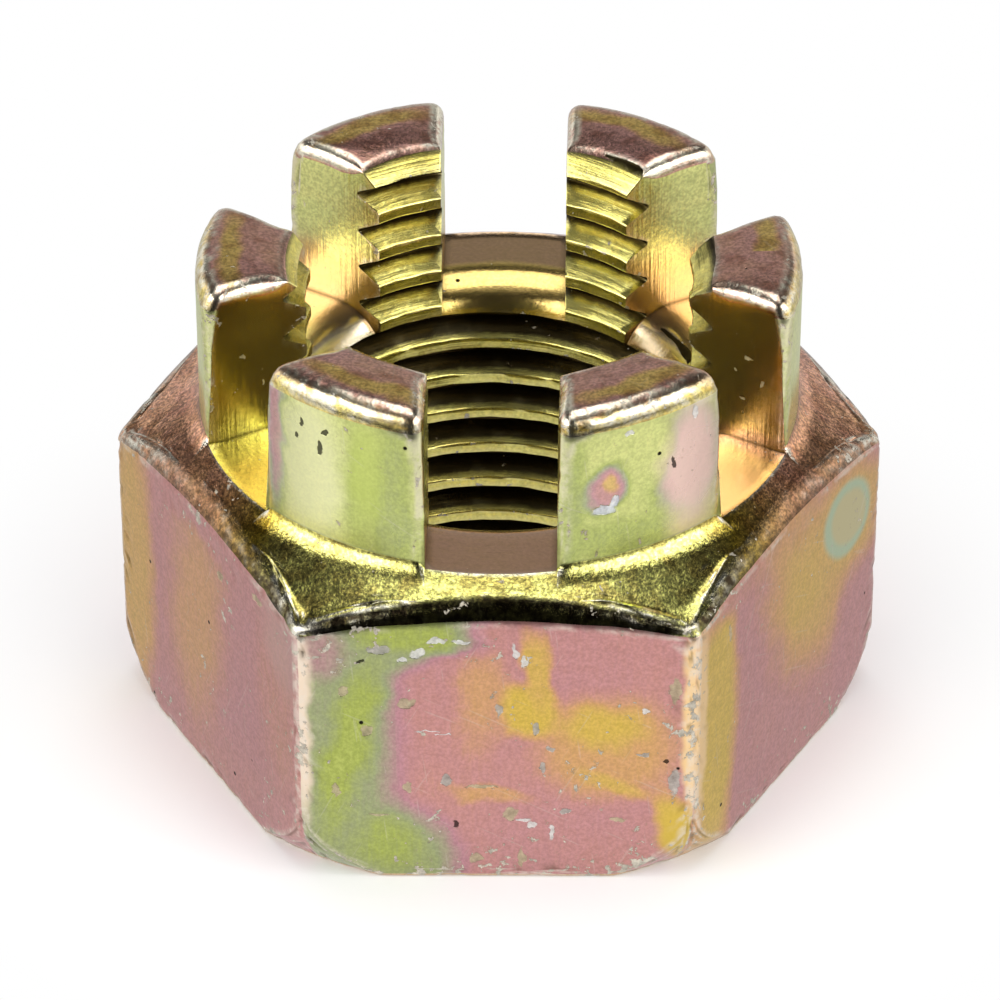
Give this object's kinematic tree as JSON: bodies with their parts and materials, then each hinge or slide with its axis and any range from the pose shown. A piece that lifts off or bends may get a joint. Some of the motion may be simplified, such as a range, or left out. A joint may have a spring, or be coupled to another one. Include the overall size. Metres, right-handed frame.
{
  "type": "castle nut",
  "caption": "Hexagonal castle nut: a threaded nut with a slotted round crown that takes a split pin.",
  "frame": {"origin": "centre of the bearing face, on the thread's axis", "axes": "+Z along the thread's axis, from the bearing face up to the crown; +X towards a corner of the hexagon, +Y square to a flat"},
  "size_m": [0.0218, 0.019, 0.0148],
  "materials": {
    "yellow_zinc": "steel with glossy yellow chromated zinc plating, iridescent from olive through gold to rose, with small chips and scratches"
  },
  "bodies": {
    "root": {"castle_nut": "yellow_zinc"}
  },
  "joints": []
}
